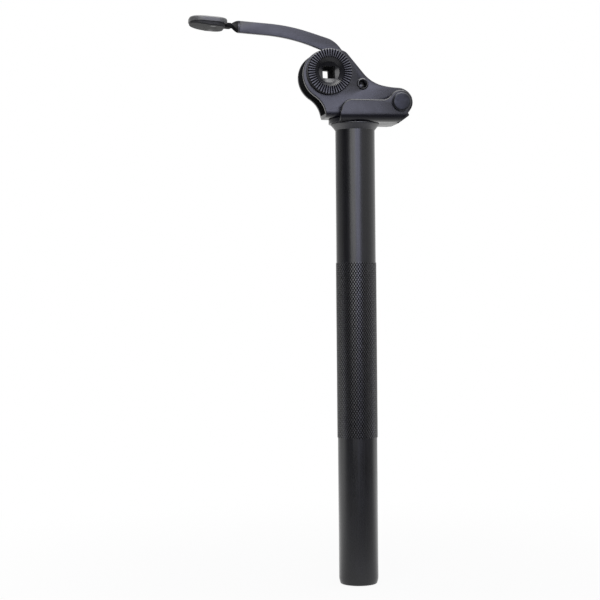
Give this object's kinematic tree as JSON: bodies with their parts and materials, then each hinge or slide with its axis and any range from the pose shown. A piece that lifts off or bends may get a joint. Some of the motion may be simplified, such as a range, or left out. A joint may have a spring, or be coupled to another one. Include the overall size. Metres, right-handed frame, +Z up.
{
  "type": "bicycle seatpost with tilting quick-release head",
  "caption": "Round seatpost with a knurled band, a forward-tilting saddle head on a pressed bracket, serrated clamp discs and a sprung release lever.",
  "frame": {"origin": "on the post's axis at the lower edge of the knurled band, where the plain end of the post meets it: the deepest mark at which the bicycle frame's seat clamp holds the post", "axes": "+Z up along the post, +X the bicycle's forward direction, towards the tilt pivot, +Y across the bicycle from the pivot bolt's head to its nut"},
  "size_m": [0.1537, 0.046, 0.3877],
  "materials": {
    "post_black": "satin black coated steel tube",
    "bracket_black": "satin black coated pressed steel",
    "lever_black": "satin black coated flat steel bar",
    "bolt_steel": "black oxide steel",
    "bush_plastic": "black moulded bearing plastic",
    "grip_plastic": "black moulded plastic",
    "spring_steel": "spring wire"
  },
  "bodies": {
    "post": {"post_tube": "post_black", "neck_collar": "post_black", "base_bracket": "bracket_black", "pivot_bolt": "bolt_steel", "pivot_washer": "bolt_steel", "pivot_nut": "bolt_steel"},
    "head": {"saddle_bracket": "bracket_black", "serrated_disc_near": "bracket_black", "serrated_disc_far": "bracket_black", "pivot_bush_near": "bush_plastic", "pivot_bush_far": "bush_plastic", "pivot_sleeve": "bolt_steel", "lever_rivet": "bracket_black", "lever_spacer_near": "bush_plastic", "lever_spacer_far": "bush_plastic", "lever_spring": "spring_steel"},
    "lever": {"lever_plate": "lever_black", "grip_top_half": "grip_plastic", "grip_bottom_half": "grip_plastic", "grip_screws": "bolt_steel"}
  },
  "joints": [
    {"name": "head_tilt", "type": "hinge", "parent": "post", "child": "head", "pos_m": [0.0284, 0, 0.2301], "axis": [0, 1, 0], "range_deg": [0, 58]},
    {"name": "lever_pull", "type": "hinge", "parent": "head", "child": "lever", "pos_m": [0.0033, 0, 0.24305], "axis": [0, 1, 0], "range_deg": [0, 12], "stiffness_Nm_per_rad": 0.5, "springref_deg": -17.19, "deforming": ["lever_spring"]}
  ]
}
